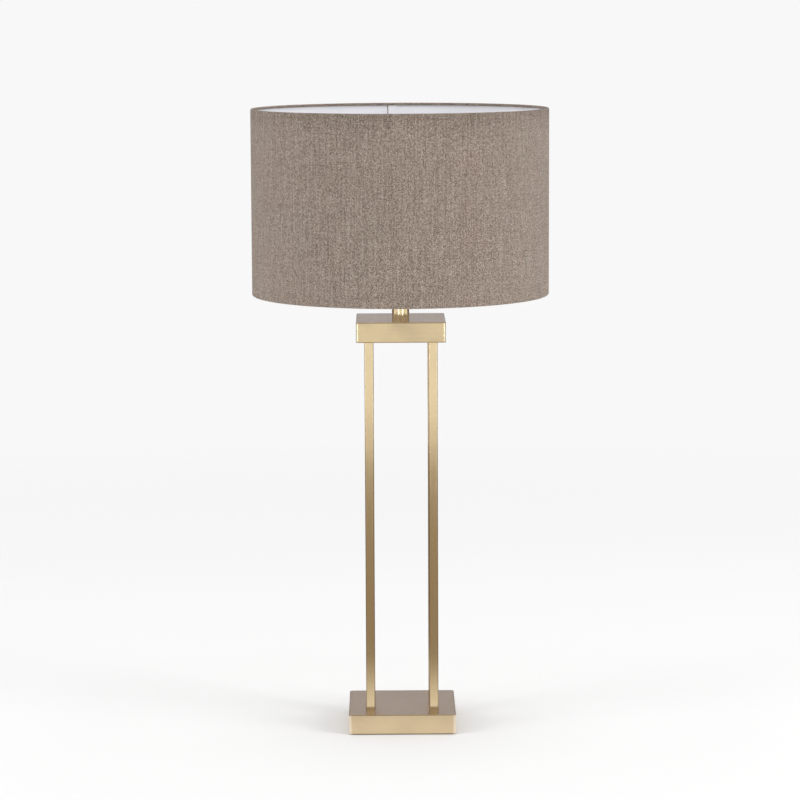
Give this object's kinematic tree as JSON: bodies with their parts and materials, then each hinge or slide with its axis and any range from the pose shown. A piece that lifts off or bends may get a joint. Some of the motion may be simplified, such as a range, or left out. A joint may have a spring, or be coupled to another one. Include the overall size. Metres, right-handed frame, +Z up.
{
  "type": "column table lamp",
  "caption": "Table lamp with a straight drum shade on a square open column of slim square tubes between a square top block and a square weighted base.",
  "frame": {"origin": "middle of the footprint, on the surface the lamp stands on", "axes": "+Z up along the column; the front looks along -Y and the cord inlet is at the back, +Y"},
  "size_m": [0.3999, 0.4, 0.842],
  "materials": {
    "felt": "felt",
    "base_brass": "satin brushed",
    "leg_brass": "satin brushed",
    "block_brass": "satin brushed",
    "neck_brass": "polished",
    "cast_iron": "rough cast",
    "steel_plate": "plain",
    "zinc_steel": "zinc plated",
    "brass_parts": "turned",
    "black_rubber": "matte",
    "white_plastic": "matte",
    "clear_plastic": "satin",
    "lead_sheath": "smooth sheath",
    "core_wire": "smooth",
    "white_steel": "white lacquer",
    "shade_linen": "woven linen melange",
    "shade_white": "smooth laminated lining",
    "clear_glass": "clear",
    "cap_metal": "nickel plated",
    "black_glass": "vitrified",
    "filament": "phosphor coated"
  },
  "bodies": {
    "stand": {"felt_pad": "felt", "bottom_cover": "steel_plate", "cover_screws": "zinc_steel", "base_weight": "cast_iron", "base_shell": "base_brass", "cord_grommet": "black_rubber", "terminal_block": "clear_plastic", "terminal_inserts": "brass_parts", "terminal_screws": "zinc_steel", "terminal_fixing_screw": "zinc_steel", "leg_front_left": "leg_brass", "leg_front_right": "leg_brass", "leg_back_left": "leg_brass", "leg_back_right": "leg_brass", "tie_rod_front_left": "zinc_steel", "tie_rod_front_right": "zinc_steel", "tie_rod_back_left": "zinc_steel", "tie_rod_back_right": "zinc_steel", "leg_bushes_lower": "white_plastic", "leg_bushes_upper": "white_plastic", "rod_washers_lower": "zinc_steel", "rod_nuts_lower": "zinc_steel", "rod_washers_upper": "zinc_steel", "rod_nuts_upper": "zinc_steel", "block_floor": "block_brass", "block_shell": "block_brass", "block_screws": "zinc_steel", "neck": "neck_brass", "nipple": "zinc_steel", "nipple_washer": "zinc_steel", "nipple_nut": "zinc_steel", "holder_cap": "white_plastic", "lock_screw": "zinc_steel", "holder_core": "white_plastic", "holder_terminals": "brass_parts", "holder_clamp_screws": "zinc_steel", "contact_shell": "cap_metal", "centre_contact": "brass_parts", "holder_skirt": "white_plastic", "internal_lead": "lead_sheath", "lead_cores_lower": "core_wire", "lead_cores_upper": "core_wire"},
    "switch_bar": {"switch_bar": "white_plastic"},
    "shade_ring": {"shade_ring": "white_plastic"},
    "shade": {"shade_cover": "shade_linen", "shade_lining": "shade_white", "upper_ring": "white_steel", "lower_ring": "white_steel", "shade_fitter": "white_steel"},
    "bulb": {"bulb_contact": "brass_parts", "bulb_insulator": "black_glass", "bulb_cap": "cap_metal", "bulb_glass": "clear_glass", "bulb_stem": "clear_glass", "bulb_filaments": "filament"}
  },
  "joints": [
    {"name": "switch_push", "type": "slide", "parent": "stand", "child": "switch_bar", "axis": [1, 0, 0], "range_m": [0, 0.007]},
    {"name": "shade_lift", "type": "slide", "parent": "stand", "child": "shade_ring", "axis": [0, 0, 1], "range_m": [0, 0.17]},
    {"name": "shade_turn", "type": "hinge", "parent": "shade_ring", "child": "shade", "pos_m": [0, 0, 0.632], "axis": [0, 0, 1], "continuous": true},
    {"name": "bulb_lift", "type": "slide", "parent": "stand", "child": "bulb", "axis": [0, 0, 1], "range_m": [0, 0.25]}
  ]
}
